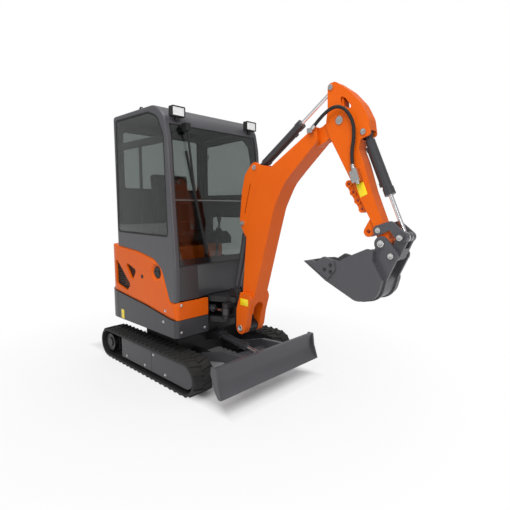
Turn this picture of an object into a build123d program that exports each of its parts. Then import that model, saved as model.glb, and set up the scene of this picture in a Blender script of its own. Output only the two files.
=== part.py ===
# Mini excavator with a closed cab, rubber tracks, swing boom and front blade.
# Millimetres. X forward, Y to the left, Z up, zero on the ground under the slew axis.
import os
from math import cos, hypot, pi, radians, sin, tan
from build123d import *

os.makedirs("parts", exist_ok=True)

# Clearances between moving pieces
running_fit = 0.05
side_gap = 2.0
swing_gap = 6.0
seam = 4.0

# Tracks
half_width = 565.0
track_width = 200.0
lug_height = 14.0
lug_base = 36.0
lug_slant = 26.0
lug_sink = 5.0
lug_drop = 3.0
lug_lap = 10.0
lug_taper = 22.0
belt_thick = 20.0
lug_radius = 147.0
axle_x = 607.0
lug_count = 48
belt_radius = lug_radius - lug_height
belt_inner = belt_radius - belt_thick
axle_z = lug_radius
track_y = half_width - track_width / 2

# Track frames, wheels and centre frame
frame_rear_x = -380.0
beam_front_x = 455.0
cheek_low = 62.0
cheek_high = 242.0
cheek_thick = 20.0
cheek_seam_x = 130.0
frame_outer_y = track_y + 75
frame_inner_y = track_y - 80
beam_low = 112.0
roller_radius = 36.0
roller_count = 3
roller_span = 540.0
roller_groove = 24.0
wheel_radius = 104.0
wheel_half = 28.0
web_half = 13.0
rim_inner = 80.0
hub_radius = 34.0
drive_radius = 80.0
tooth_count = 11
tooth_depth = 18.0
carbody_x = 250.0
carbody_low = 150.0
carbody_high = 320.0
slew_radius = 238.0
slew_top = 392.0
spigot_radius = 60.0

# Blade and its cylinder
blade_pivot = (430.0, 185.0)
blade_pivot_y = 205.0
blade_ear = 46.0
blade_top = (967.0, 338.0)
blade_edge = (1044.0, 124.0)
blade_sheet = 26.0
blade_end = 16.0
push_arm_wide = 34.0
blade_cyl_base = (395.0, 328.0)
blade_cyl_rod = (890.0, 268.0)
blade_barrel = 335.0
blade_travel = 30.0

# House
deck_low = 410.0
deck_high = 435.0
house_half = 505.0
skirt_low = 407.0
tail_x = -715.0
tail_corner = 205.0
front_corner = 40.0
panel_tail_x = -690.0
wall = 20.0
panel_bevel = 12.0
bevel_lean = 60.0
front_x = 452.0
front_gap_y = 183.0
skirt_seam_x = -480.0
well_x = -558.0
weight_wall = 90.0
hood_thick = 20.0
hood_low = 682.0
hood_rows = 8
bay_top_z = 1098.0
bay_top_thick = 15.0
bar_low = 553.0
bar_high = 694.0
filler = (181.0, 911.0)
filler_hole = 52.0
filler_cap = 47.0
louvre_pitch = 18.0
hood_half = house_half - tail_corner - 2
deck_edge = house_half - wall
tail_well = house_half - weight_wall - 3

# Cab
cab_rear_x = -450.0
cab_roof_z = 2237.0
cab_wall = 40.0
cab_round = 16.0
roof_thick = 45.0
visor_drop = 157.0
glass_thick = 8.0
glass_inset = 4.0
floor_z = 706.0
floor_thick = 18.0
seat_deck_z = 1090.0
seat_box_x = 90.0
seat_box_y = 290.0
step_x = -140.0
seat_half = 225.0
console_high = 120.0
belt_share = 0.5513
shield_low = 976.0
dish_half = 275.0
dish_depth = 60.0
front_thick = 36.0
door_hinge_x = -426.0
door_hinge_y = house_half + 12
inner_half = house_half - cab_wall
rear_inner_x = cab_rear_x + cab_wall
visor_z = cab_roof_z - visor_drop
sill_z = bay_top_z + 115
hinge_low_z = bay_top_z + 82
belt_z = floor_z + belt_share * (cab_roof_z - floor_z)
shield_split = belt_z - 53

# Swing bracket and post
swing_x = 575.0
lug_upper = (655.0, 700.0)
lug_lower = (480.0, 526.0)
lug_boss = 75.0
bracket_root_x = 240.0
swing_pin = 32.0
post_boss = 50.0
swing_lug = (595.0, -113.0)
swing_base = (60.0, -120.0)
swing_z = 588.0
swing_barrel = 385.0
swing_travel = 100.0

# Boom, arm and bucket pins in the plane of the boom
boom_foot = (763.0, 480.0)
boom_cyl_base = (606.0, 742.0)
boom_cyl_rod = (750.0, 1318.0)
boom_barrel = 505.0
boom_travel = 52.0
arm_cyl_base = (879.0, 1738.0)
arm_cyl_rod = (1529.0, 2192.0)
arm_barrel = 480.0
arm_travel = 236.0
arm_pivot = (1600.0, 1980.0)
bucket_cyl_base = (1767.0, 1890.0)
bucket_barrel = 412.0
bucket_travel = 192.0
rocker_pin = (1890.0, 1304.0)
rocker_bend = (1968.0, 1336.0)
bucket_pin = (1926.0, 1228.0)
knee_pin = (2039.0, 1269.0)
link_pin = (1990.0, 1160.0)

# Widths across the boom
boom_half = 70.0
gusset_half = 64.0
gusset_thick = 20.0
fork_half = 107.0
fork_gap = 52.0
tip_half = 30.0
arm_half = 44.0
arm_gap = 32.0
eye_half = 26.0
foot_pin = 25.0
bucket_pin_radius = 20.0
small_pin = 16.0
ear_inner = 66.0
ear_outer = 84.0
rocker_inner = 50.0
rocker_outer = 62.0
link_half = 48.0
bucket_half = 130.0
bucket_sheet = 12.0
cutter_thick = 10.0
rib_height = 9.0
arm_boss = 38.0
rod_pocket = 76.0

# Cylinders
barrel_radius = 29.0
rod_radius = 13.0
eye_radius = 32.0
neck_radius = 22.0
neck_length = 56.0
gland_length = 45.0
bottom_gap = 8.0
pipe_radius = 6.0
knee_eye_half = 22.0

# Thumb bracket on the arm, and the spare hose from the boom to the arm
hole_first = (1662.0, 1586.0)
hole_last = (1760.0, 1430.0)
hole_count = 4
thumb_bore = 11.0
thumb_boss = (1814.0, 1292.0)
thumb_pivot_bore = 13.0
comb_half = 20.0
hose_radius = 11.0
hose_fitting = 14.0


def block(x0, x1, y0, y1, z0, z1):
    middle = Pos((x0 + x1) / 2, (y0 + y1) / 2, (z0 + z1) / 2)
    return middle * Box(x1 - x0, y1 - y0, z1 - z0)


def outline(points, radius=0):
    if radius:
        return make_face(FilletPolyline(*points, radius=radius, close=True))
    return make_face(Polyline(*points, close=True))


def slab(face, y0, y1):
    return extrude(Plane.XZ.offset(-y1) * face, amount=y1 - y0)


def both(face, y0, y1):
    return slab(face, y0, y1) + slab(face, -y1, -y0)


def upright(face, z0, z1):
    return extrude(Pos(0, 0, z0) * face, amount=z1 - z0)


def drum(point, radius, y0, y1):
    x, z = point
    return Pos(x, (y0 + y1) / 2, z) * Rot(90, 0, 0) * Cylinder(radius, y1 - y0)


def drums(point, radius, y0, y1):
    return drum(point, radius, y0, y1) + drum(point, radius, -y1, -y0)


def pillar(x, y, radius, z0, z1):
    return Pos(x, y, (z0 + z1) / 2) * Cylinder(radius, z1 - z0)


def disc(point, radius):
    return Pos(*point) * Circle(radius)


def window(width, height, middle, radius):
    return Pos(*middle) * RectangleRounded(width, height, radius)


def shifted(points, dz):
    return [(x, z + dz) for x, z in points]


def rounded_link(points_and_radii):
    edges = ShapeList()
    for point, radius in points_and_radii:
        edges += disc(point, radius).edges()
    return make_hull(edges)


# A round bar on the way from one point to another, between two distances
def between(start, end, radius, first, last, aside=0):
    dx, dz = end[0] - start[0], end[1] - start[1]
    plane = Plane(origin=(start[0], 0, start[1]), x_dir=(0, 1, 0), z_dir=(dx, 0, dz))
    align = (Align.CENTER, Align.CENTER, Align.MIN)
    return plane * Pos(0, aside, first) * Cylinder(radius, last - first, align=align)


# A straight bar of rectangular section between two points in space
def strut(start, end, width, depth):
    run = Vector(*end) - Vector(*start)
    plane = Plane(origin=start, x_dir=(0, 1, 0), z_dir=run)
    align = (Align.CENTER, Align.CENTER, Align.MIN)
    return plane * Box(width, depth, run.length, align=align)


# Barrel with its base eye, and rod with its free eye; travel is how far the rod can go in
def ram(base, tip, barrel, travel, half=eye_half, piped=False):
    bore = neck_length + 2
    rod_start = bore + travel + bottom_gap
    body = between(base, tip, neck_radius, eye_radius * 0.6, neck_length)
    body += between(base, tip, barrel_radius, neck_length, barrel)
    body += between(base, tip, barrel_radius + 4, barrel - gland_length, barrel)
    body += drum(base, eye_radius, -half, half)
    if piped:
        aside = 1 - barrel_radius - pipe_radius
        first = neck_length + 30
        last = barrel - gland_length - 20
        body += between(base, tip, pipe_radius, first, last, aside)
        body += between(base, tip, pipe_radius + 4, first, first + 26, aside)
        body += between(base, tip, pipe_radius + 4, last - 26, last, aside)
    body -= drum(base, small_pin + running_fit, -half, half)
    body -= between(base, tip, rod_radius + running_fit, bore, barrel)
    reach = hypot(tip[0] - base[0], tip[1] - base[1])
    rod = between(base, tip, rod_radius, rod_start, reach - eye_radius * 0.6)
    rod += drum(tip, eye_radius, -half, half)
    rod -= drum(tip, small_pin + running_fit, -half, half)
    return body, rod


def save(shape, name):
    export_step(shape, "parts/" + name + ".step")
    print(name, round(shape.volume / 1000), "cm3")


# Rubber tracks: a belt with two rows of slanted lugs, half a pitch apart
straight = 2 * axle_x
half_turn = pi * belt_radius
loop_length = 2 * straight + 2 * half_turn
pitch = loop_length / lug_count


def loop_point(distance, height):
    s = distance % loop_length
    r = belt_radius + height
    if s < straight:
        return (-axle_x + s, axle_z + r)
    s -= straight
    if s < half_turn:
        a = pi / 2 - s / belt_radius
        return (axle_x + r * cos(a), axle_z + r * sin(a))
    s -= half_turn
    if s < straight:
        return (axle_x - s, axle_z - r)
    a = -pi / 2 - (s - straight) / belt_radius
    return (-axle_x + r * cos(a), axle_z + r * sin(a))


def stadium(radius):
    middle = Pos(0, axle_z) * Rectangle(2 * axle_x, 2 * radius)
    return middle + disc((-axle_x, axle_z), radius) + disc((axle_x, axle_z), radius)


def lug():
    edge = -track_width / 2
    half = lug_base / 2
    lean = lug_slant / 2
    points = [(-half - lean, edge), (half - lean, edge), (half + lean, lug_lap), (lean - half, lug_lap)]
    return extrude(outline(points), amount=lug_height + lug_sink, taper=lug_taper)


# Lugs on the turns sit a little deeper, so that their flat tops stay inside the loop
def track(y):
    belt = slab(stadium(belt_radius) - stadium(belt_inner), y - track_width / 2, y + track_width / 2)
    lugs = []
    for shape, phase in ((lug(), 0.0), (mirror(lug(), about=Plane.XZ), 0.5)):
        for i in range(lug_count):
            distance = (i + phase) * pitch
            foot = loop_point(distance, 0)
            tip = loop_point(distance, 1)
            nx, nz = tip[0] - foot[0], tip[1] - foot[1]
            depth = lug_sink if abs(foot[0]) < axle_x else lug_sink + lug_drop
            origin = (foot[0] - depth * nx, y, foot[1] - depth * nz)
            lugs.append(Plane(origin=origin, x_dir=(nz, 0, -nx), z_dir=(nx, 0, nz)) * shape)
    return belt.fuse(*lugs)


for side, name in ((-1, "track_right"), (1, "track_left")):
    save(track(side * track_y), name)


# Track frames: a beam with cheek plates that reach round the wheels
def track_frame(side):
    mid = (cheek_low + cheek_high) / 2
    half = (cheek_high - cheek_low) / 2
    outer = Pos((frame_rear_x + axle_x) / 2, mid) * Rectangle(axle_x - frame_rear_x, 2 * half)
    outer += disc((axle_x, mid), half)
    inner = Pos(0, mid) * Rectangle(2 * axle_x, 2 * half)
    inner += disc((axle_x, mid), half) + disc((-axle_x, mid), half)
    body = slab(outer, frame_outer_y - cheek_thick, frame_outer_y)
    body += slab(inner, frame_inner_y, frame_inner_y + cheek_thick)
    body += block(frame_rear_x, beam_front_x, frame_inner_y, frame_outer_y, beam_low, cheek_high)
    groove = Pos(cheek_seam_x, mid) * Rectangle(seam, 2 * half)
    body -= slab(groove, frame_outer_y - seam, frame_outer_y)
    if side < 0:
        body = mirror(body, about=Plane.XZ)
    return body


save(track_frame(-1), "track_frame_right")
save(track_frame(1), "track_frame_left")

gap_in = frame_inner_y + cheek_thick
gap_out = frame_outer_y - cheek_thick

# Front idlers: rim, thin web and hub
idler_spot = (axle_x, axle_z)
idler = drums(idler_spot, wheel_radius, track_y - wheel_half, track_y + wheel_half)
idler -= drums(idler_spot, rim_inner, track_y + web_half, track_y + wheel_half)
idler -= drums(idler_spot, rim_inner, track_y - wheel_half, track_y - web_half)
idler += drums(idler_spot, hub_radius, gap_in, gap_out)
save(idler, "idlers")

# Rear sprockets with teeth and drive hubs
sprocket_spot = (-axle_x, axle_z)
tooth_root = wheel_radius - tooth_depth
tooth = outline([(tooth_root - 4, -17), (wheel_radius, -8), (wheel_radius, 8), (tooth_root - 4, 17)])
wheel = Circle(tooth_root)
for i in range(tooth_count):
    wheel += Rot(0, 0, i * 360 / tooth_count) * tooth
sprocket = both(Pos(*sprocket_spot) * wheel, track_y - wheel_half + 6, track_y + wheel_half - 6)
sprocket += drums(sprocket_spot, drive_radius, gap_in, track_y + 70)
sprocket += drums(sprocket_spot, drive_radius * 0.55, track_y + 70, track_y + 80)
save(sprocket, "sprockets")

# Lower rollers, each with two treads and a groove between them
rollers = []
for i in range(roller_count):
    x = -roller_span / 2 + i * roller_span / (roller_count - 1)
    spot = (x, axle_z - belt_inner + roller_radius + 0.5)
    tread = drum(spot, roller_radius, gap_in, track_y - roller_groove)
    tread += drum(spot, roller_radius, track_y + roller_groove, gap_out)
    roller = tread + drum(spot, roller_radius - 9, gap_in, gap_out)
    rollers.append(roller)
    rollers.append(mirror(roller, about=Plane.XZ))
save(Compound(rollers), "rollers")

# Centre frame with the blade pivots, cylinder ears and slew spigot
belt_side = half_width - track_width - 12
carbody = block(-carbody_x, carbody_x, -belt_side, belt_side, carbody_low, carbody_high)
carbody += block(-carbody_x, carbody_x, -frame_inner_y, frame_inner_y, carbody_low, cheek_high - 12)
ear_foot = carbody_x - 5
ear_high = 2 * blade_pivot[1] - carbody_low
ear = block(ear_foot, blade_pivot[0], 0, blade_ear, carbody_low, ear_high)
ear += drum(blade_pivot, blade_pivot[1] - carbody_low, 0, blade_ear)
ear += drum(blade_pivot, foot_pin, 0, blade_ear + side_gap + push_arm_wide + 6)
ear = Pos(0, blade_pivot_y - blade_ear, 0) * ear
carbody += ear
carbody += mirror(ear, about=Plane.XZ)
clevis_x, clevis_z = blade_cyl_base
clevis = outline(
    [
        (ear_foot, clevis_z - 78),
        (clevis_x, clevis_z - 36),
        (clevis_x, clevis_z + 36),
        (ear_foot, clevis_z - 10),
    ]
)
clevis += disc(blade_cyl_base, 36)
clevis_in = eye_half + side_gap
carbody += both(clevis, clevis_in, clevis_in + 18)
carbody += drum(blade_cyl_base, small_pin, -clevis_in - 22, clevis_in + 22)
carbody += pillar(0, 0, spigot_radius, carbody_high, deck_high)
save(carbody, "carbody")

ring = pillar(0, 0, slew_radius, carbody_high, slew_top)
ring -= pillar(0, 0, slew_radius - 70, carbody_high, slew_top)
save(ring, "slew_ring")

# Blade: curved mouldboard, end plates, back ribs and push arms
bow_z = (blade_top[1] + blade_edge[1]) / 2
front_top = (blade_top[0] + blade_sheet, blade_top[1])
front_bow = (blade_top[0] + 16, bow_z + 10)
back_foot = (blade_edge[0] - blade_sheet, blade_edge[1])
back_bow = (blade_top[0] - 14, bow_z + 5)
back_top = (blade_top[0] - 6, blade_top[1])
mould = [ThreePointArc(front_top, front_bow, blade_edge), Line(blade_edge, back_foot)]
mould += [ThreePointArc(back_foot, back_bow, back_top), Line(back_top, front_top)]
end_plate = outline(
    [
        (blade_top[0] - blade_sheet, blade_top[1]),
        front_top,
        (blade_top[0] + 39, bow_z + 5),
        blade_edge,
        (back_foot[0] - 4, blade_edge[1]),
        (blade_top[0] - 31, bow_z + 51),
    ]
)
blade = slab(make_face(Curve() + mould), -half_width, half_width)
blade += both(end_plate, half_width - blade_end, half_width)
arm_in = blade_pivot_y + side_gap
arm_out = arm_in + push_arm_wide
beam_x = blade_pivot[0] + 270
beam_z = blade_edge[1] + 91
push_arm = outline(
    [
        (blade_pivot[0], blade_pivot[1] - 34),
        (blade_pivot[0], blade_pivot[1] + 34),
        (beam_x, blade_top[1] - 38),
        (blade_top[0] - 4, blade_top[1] - 20),
        (blade_top[0] + 4, blade_edge[1] + 76),
        (beam_x, beam_z),
    ]
)
push_arm += disc(blade_pivot, 36)
push_arm -= disc(blade_pivot, foot_pin + running_fit)
blade += both(push_arm, arm_in, arm_out)
blade += block(beam_x, beam_x + 60, -arm_out, arm_out, beam_z, beam_z + 30)
rod_x, rod_z = blade_cyl_rod
rod_lug = outline(
    [
        (rod_x, rod_z - 32),
        (blade_top[0], rod_z - 40),
        (blade_top[0], rod_z + 42),
        (rod_x, rod_z + 32),
    ]
)
rod_lug += disc(blade_cyl_rod, 34)
blade += both(rod_lug, clevis_in, clevis_in + 16)
blade += drums(blade_cyl_rod, small_pin, clevis_in, clevis_in + 24)
rib_y = half_width * 0.72
rib = outline(
    [
        (blade_top[0] - 55, bow_z + 40),
        (blade_top[0], blade_top[1] - 12),
        (blade_top[0], blade_edge[1] + 60),
    ]
)
blade += both(rib, rib_y, rib_y + blade_end)
save(blade, "blade")

barrel, rod = ram(blade_cyl_base, blade_cyl_rod, blade_barrel, blade_travel)
save(barrel, "blade_cylinder")
save(rod, "blade_rod")

# Deck plate with the upper slew ring and the posts under the cab
deck_rear_x = skirt_seam_x + 8
deck_front_x = front_x - 60
deck_long = deck_front_x - deck_rear_x
deck_plan = Pos((deck_rear_x + deck_front_x) / 2, 0) * Rectangle(deck_long, 2 * deck_edge)
deck_plan += Pos((deck_rear_x + well_x) / 2, 0) * Rectangle(deck_rear_x - well_x, 2 * tail_well)
deck = upright(deck_plan, deck_low, deck_high)
deck += pillar(0, 0, slew_radius - 8, slew_top + 1, deck_low)
deck -= pillar(0, 0, spigot_radius + running_fit, slew_top, deck_high)
for x in (step_x + 40, deck_front_x - 92):
    for y in (85 - inner_half, inner_half - 85):
        deck += pillar(x, y, 30, deck_high, floor_z)
save(deck, "deck")

# Swing bracket: two lugs with a vertical pin, open on the right for the swing cylinder
lug_points = [(bracket_root_x, -150), (430, -156), (swing_x, -lug_boss)]
lug_points += [(swing_x, lug_boss), (430, 156), (bracket_root_x, 150)]
lug_plan = outline(lug_points) + disc((swing_x, 0), lug_boss)
bracket = upright(lug_plan, *lug_upper) + upright(lug_plan, *lug_lower)
bracket += block(bracket_root_x, 470, 40, 140, lug_lower[0], lug_upper[1])
bracket += block(bracket_root_x, 404, 40, 140, deck_high, lug_lower[1])
bracket += block(bracket_root_x, 404, -140, -40, deck_high, lug_lower[1])
bracket += pillar(swing_x, 0, swing_pin, lug_lower[0] - 20, lug_upper[1] + 3)
bracket += pillar(*swing_base, 34, deck_high, swing_z - eye_half - side_gap)
foot_right = swing_base[1] - 34
foot_left = swing_base[1] + 34
bracket += block(swing_base[0], bracket_root_x + 10, foot_right, foot_left, deck_high, swing_z - 60)
bracket += block(180, bracket_root_x + 10, foot_right, -100, deck_high, lug_lower[1])
bracket += pillar(*swing_base, small_pin, deck_high, swing_z + eye_half + 12)
save(bracket, "swing_bracket")

# Swing post: vertical boss, nose for the boom foot, cheeks for the boom cylinder
post_low = lug_lower[1] + side_gap
post_high = lug_upper[0] - side_gap
post_half = fork_gap - side_gap
nose = outline(
    [
        (swing_x, post_low + 20),
        (boom_foot[0], boom_foot[1] - 46),
        (boom_foot[0] + 4, boom_foot[1] + 46),
        (boom_foot[0] - 33, boom_foot[1] + 120),
        (swing_x, post_high - 20),
    ]
)
nose += disc(boom_foot, 46)
nose -= disc(boom_foot, foot_pin + running_fit)
clear_x = swing_x + lug_boss + swing_gap
cheek_foot = lug_upper[1] + swing_gap + 2
cheeks = outline(
    [
        (clear_x, boom_foot[1] + 80),
        (clear_x + 56, boom_foot[1] + 80),
        (clear_x + 28, boom_cyl_base[1] - 52),
        (boom_cyl_base[0] + 26, boom_cyl_base[1] + 34),
        (boom_cyl_base[0] - 10, boom_cyl_base[1] + 34),
        (boom_cyl_base[0] - 10, cheek_foot),
        (clear_x, cheek_foot),
    ]
)
cheeks += disc(boom_cyl_base, 34)
post = slab(nose, -post_half, post_half)
post -= block(swing_x - 90, clear_x, -200, 200, 0, post_low)
post -= block(swing_x - 90, clear_x, -200, 200, post_high, cheek_foot - 1)
post += both(cheeks, eye_half + side_gap, post_half)
post += pillar(swing_x, 0, post_boss, post_low, post_high)
arm_plan = rounded_link([((swing_x, 0), post_boss + 2), (swing_lug, 32)])
post += upright(arm_plan, swing_z + eye_half + side_gap, post_high)
post += upright(arm_plan, post_low, swing_z - eye_half - side_gap)
post += pillar(*swing_lug, small_pin, swing_z + eye_half + side_gap, post_high)
post -= pillar(swing_x, 0, swing_pin + running_fit, post_low - 5, post_high + 5)
post += drum(boom_cyl_base, small_pin, -post_half, post_half)
save(post, "swing_post")

# Swing cylinder lies flat in the deck
lying = Pos(0, 0, swing_z) * Rot(-90, 0, 0)
barrel, rod = ram(swing_base, swing_lug, swing_barrel, swing_travel)
save(lying * barrel, "swing_cylinder")
save(lying * rod, "swing_rod")


# Plan of the house skin, tail corners rounded
def house_plan(rear, inset=0.0):
    half = house_half - inset
    face = Pos((front_x + rear) / 2, 0) * Rectangle(front_x - rear - 2 * inset, 2 * half)
    corners = face.vertices().sort_by(Axis.X)
    face = fillet(corners[:2], tail_corner - inset)
    corners = face.vertices().sort_by(Axis.X)
    return fillet(corners[-2:], front_corner - min(inset, front_corner - 10))


def skin(rear, thick):
    return house_plan(rear) - house_plan(rear, thick)


# Boundaries of the orange side panels
past_tail = tail_x - 45
past_front = front_x + 48
reach = house_half + 95
lower_line = [(past_tail, 684), (-516, 664), (7, 608), (364, bar_low), (past_front, bar_low)]
upper_right = [(past_front, bar_high), (372, bar_high), (269, 940), (155, 1020)]
upper_right += [(-95, bay_top_z - 30), (-470, bay_top_z), (past_tail, bay_top_z)]
upper_left = [(past_front, bar_high), (-352, bar_high), (-372, bay_top_z - 38)]
upper_left += [(-420, bay_top_z), (past_tail, bay_top_z)]
lower_radii = [26, 300, 300, 26, 26]
right_radii = [26, 30, 110, 110, 300, 300, 26]
left_radii = [26, 26, 26, 26, 26]
gap_foot = [(past_tail, 500), (past_front, 500)]


def split_side(shape, side):
    keep = block(past_tail, past_front, 0, reach, 0, cab_roof_z)
    if side < 0:
        keep = mirror(keep, about=Plane.XZ)
    return shape & keep


# A side outline whose rim leans in over the depth of the bevel
def bevelled(face):
    flat_half = house_half - panel_bevel
    rim = extrude(Plane.XZ.offset(flat_half) * face, amount=panel_bevel, taper=bevel_lean)
    return slab(face, -flat_half, flat_half) + rim + mirror(rim, about=Plane.XZ)


# Grey counterweight round the tail
weight_side = [(past_tail, 400), (skirt_seam_x, 400), (skirt_seam_x, 659), (-516, 663), (past_tail, 684)]
weight_plan = house_plan(tail_x) & Pos(well_x - 102, 0) * Rectangle(200, 2 * reach)
weight_plan += skin(tail_x, weight_wall) & Pos(skirt_seam_x - 120, 0) * Rectangle(240, 2 * reach)
weight = upright(weight_plan, skirt_low, bar_high) & slab(outline(weight_side), -reach, reach)
weight -= block(well_x, 0, -tail_well, tail_well, deck_low - 5, bar_high)
save(weight, "counterweight")

# Grey skirts below the orange panels
skirt_rear = skirt_seam_x + seam
skirt_side = [(skirt_rear, skirt_low), (past_front, skirt_low)]
skirt_side += shifted(lower_line[:1:-1], -seam) + [(skirt_rear, 655)]
skirts = upright(skin(tail_x, wall), skirt_low, bar_high) & slab(outline(skirt_side), -reach, reach)
skirts -= block(0, past_front, -front_gap_y, front_gap_y, 0, cab_roof_z)
save(skirts, "skirts")

# Orange side panels, with two vents and the filler hole on the right
skin_in = wall - house_half
panel_skin = upright(skin(panel_tail_x, wall), bar_low - 53, bay_top_z + 102)
panel_cut = block(0, past_front, -front_gap_y, front_gap_y, 0, cab_roof_z)
panel_cut += block(past_tail, panel_tail_x + 190, -hood_half, hood_half, 0, cab_roof_z)
vent_small = outline([(-340, 962), (-133, 897), (-210, 788)], 22)
vent_big = outline([(-504, 985), (-241, 755), (-303, 690), (-504, 735)], 24)
right_face = outline(lower_line + upper_right, lower_radii + right_radii)
right_panel = split_side(panel_skin & bevelled(right_face), -1) - panel_cut
right_panel -= slab(vent_small, -reach, skin_in + 5)
right_panel -= slab(vent_big, -reach, skin_in + 5)
right_panel -= drum(filler, filler_hole, -reach, skin_in + 5)
recess = Rot(-90, 0, 0) * Cone(filler_hole + 20, filler_hole, 14)
right_panel -= Pos(filler[0], 7 - house_half, filler[1]) * recess
save(right_panel, "side_panel_right")
left_face = outline(lower_line + upper_left, lower_radii + left_radii)
left_panel = split_side(panel_skin & bevelled(left_face), 1) - panel_cut
save(left_panel, "side_panel_left")

# Dark vent grille with level slots, set behind the right panel
grille_plan = house_plan(panel_tail_x, wall) - house_plan(panel_tail_x, wall + 8)
grille = upright(grille_plan, 680, 1030) & block(-560, -110, -house_half, 0, 600, 1200)
for i in range(17):
    slot_z = 700 + i * louvre_pitch
    grille -= block(-545, -125, -house_half, 0, slot_z, slot_z + louvre_pitch / 2)
save(grille, "vent_grilles")

# Filler cap in its recess, with a grip across it
cap = drum(filler, filler_cap, 12 - house_half, skin_in + 30)
cap += drum(filler, filler_hole + 6, skin_in, skin_in + 30)
cap += slab(window(2 * filler_cap - 12, 16, filler, 7), 3 - house_half, 13 - house_half)
save(cap, "filler_cap")

# Engine bay lid plate behind the cab, with the hood's hinge pins
hood_axis = (panel_tail_x - 2, bay_top_z - 12)
hinge_out = hood_half - 88
hinge_in = hinge_out - 60
hinge_pin = 4.0
lid_plan = house_plan(panel_tail_x, wall) & Pos(cab_rear_x - 280, 0) * Rectangle(600, 2 * reach)
lid = upright(lid_plan, bay_top_z - bay_top_thick, bay_top_z)
hinge_arm = Pos((hood_axis[0] + panel_tail_x + 40) / 2, hood_axis[1] + 2) * Rectangle(42, 10)
lid += both(hinge_arm + disc(hood_axis, 9), hinge_out + side_gap, hinge_out + 30)
lid += drums(hood_axis, hinge_pin, hinge_in, hinge_out + 30)
save(lid, "bay_top")

# Engine as one block
engine_half = house_half - 235
save(block(-552, -190, -engine_half, engine_half, deck_high, 860), "engine")

# Rear hood, hinged along its top edge, with rows of louvres
hood_plane = Plane(origin=(panel_tail_x, 0, 0), x_dir=(0, 1, 0), z_dir=(1, 0, 0))
hood_top = bay_top_z - 22
hood_wide = hood_half - seam
hood_face = window(2 * hood_wide, hood_top - hood_low, (0, (hood_top + hood_low) / 2), 24)
for i in range(hood_rows):
    for y in (-hood_wide / 2, hood_wide / 2):
        hood_face -= window(hood_wide - 70, 12, (y, hood_low + 70 + i * 26), 5)
hood = extrude(hood_plane * hood_face, amount=hood_thick)
knuckle = disc(hood_axis, 9) + Pos(hood_axis[0], hood_axis[1] - 12) * Rectangle(9, 14)
knuckle += Pos(panel_tail_x + 1, hood_axis[1] - 14) * Rectangle(14, 10)
knuckle -= disc(hood_axis, hinge_pin + running_fit)
hood += both(knuckle, hinge_in, hinge_out)
save(hood, "hood")

# Cab seen from the side
brow_z = cab_roof_z - 276
brow_x = front_x - 69
chin_x = front_x - 4
chin_z = shield_low + 104
cab_points = [(cab_rear_x, bar_low + 7), (cab_rear_x, cab_roof_z), (front_x - 237, cab_roof_z)]
cab_points += [(front_x - 107, cab_roof_z - 95), (brow_x, brow_z), (chin_x, chin_z)]
cab_points += [(front_x, shield_low + 4), (front_x - 10, bar_low + 7)]
cab_side = outline(cab_points, [1, 30, 170, 150, 300, 200, 200, 1])


def cab_inset(depth):
    return offset(cab_side, amount=-depth, kind=Kind.INTERSECTION)


# Rounds the outer edges of a cab side, apart from its windows and seams
def round_rim(shape, y):
    border = (Plane.XZ.offset(-y) * cab_side).face().outer_wire()
    chosen = []
    for edge in shape.edges().filter_by_position(Axis.Y, y - 0.1, y + 0.1):
        if edge.center().Z > bar_high and border.distance_to(edge @ 0.5) < 0.1:
            chosen.append(edge)
    return fillet(chosen, cab_round)


panel_gap_right = outline(gap_foot + shifted(upper_right, seam), [1, 1] + right_radii)
panel_gap_left = outline(gap_foot + shifted(upper_left, seam), [1, 1] + left_radii)
window_points = [(cab_rear_x + 19, sill_z + 6), (front_x - 81, sill_z - 5)]
window_points += [(front_x - 107, cab_roof_z - 247), (front_x - 190, cab_roof_z - 92)]
window_points += [(front_x - 322, cab_roof_z - 42), (cab_rear_x + 45, cab_roof_z - 36)]
window_right = outline(window_points, [30, 30, 120, 110, 110, 30])
rail_z = cab_roof_z - 267
rails = Pos(0, rail_z) * Rectangle(2 * front_x, 60)
rails += Pos(-45, (sill_z + rail_z) / 2) * Rectangle(24, rail_z - sill_z + 40)
cab_right = slab(cab_side - panel_gap_right - window_right, -house_half, -inner_half)
cab_right = round_rim(cab_right, -house_half)
cab_right += slab(rails & window_right, 20 - house_half, 36 - house_half)
save(cab_right, "cab_right")
pane_y = 2 - house_half
save(slab(offset(window_right, amount=-1), pane_y, pane_y + glass_thick), "glass_right")

# Door opening, hinges and left side frame
door_top = cab_roof_z - 87
door_low = floor_z + 14
door_rear_x = cab_rear_x + 38
sill_rear_x = cab_rear_x + 120
door_points = [(door_rear_x, bay_top_z + 22), (door_rear_x, door_top - 30), (front_x - 212, door_top)]
door_points += [(front_x - 112, door_top - 120), (front_x - 87, door_top - 270), (front_x - 42, chin_z + 30)]
door_points += [(front_x - 40, door_low), (sill_rear_x, door_low), (sill_rear_x, bay_top_z - 8)]
door_face = outline(door_points, [40, 60, 60, 60, 60, 60, 30, 30, 30])
door_gap = offset(door_face, amount=swing_gap)
cab_left = slab(cab_side - panel_gap_left - door_gap, inner_half, house_half)
cab_left = round_rim(cab_left, house_half)
hinge_heights = (hinge_low_z, cab_roof_z - 287)
for z in hinge_heights:
    cab_left += pillar(door_hinge_x, door_hinge_y, 11, z - 30, z)
    cab_left += block(door_hinge_x - 10, door_hinge_x + 4, house_half - 2, door_hinge_y, z - 30, z)
    cab_left += pillar(door_hinge_x, door_hinge_y, 5, z - 30, z + 28)
save(cab_left, "cab_left")

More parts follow.
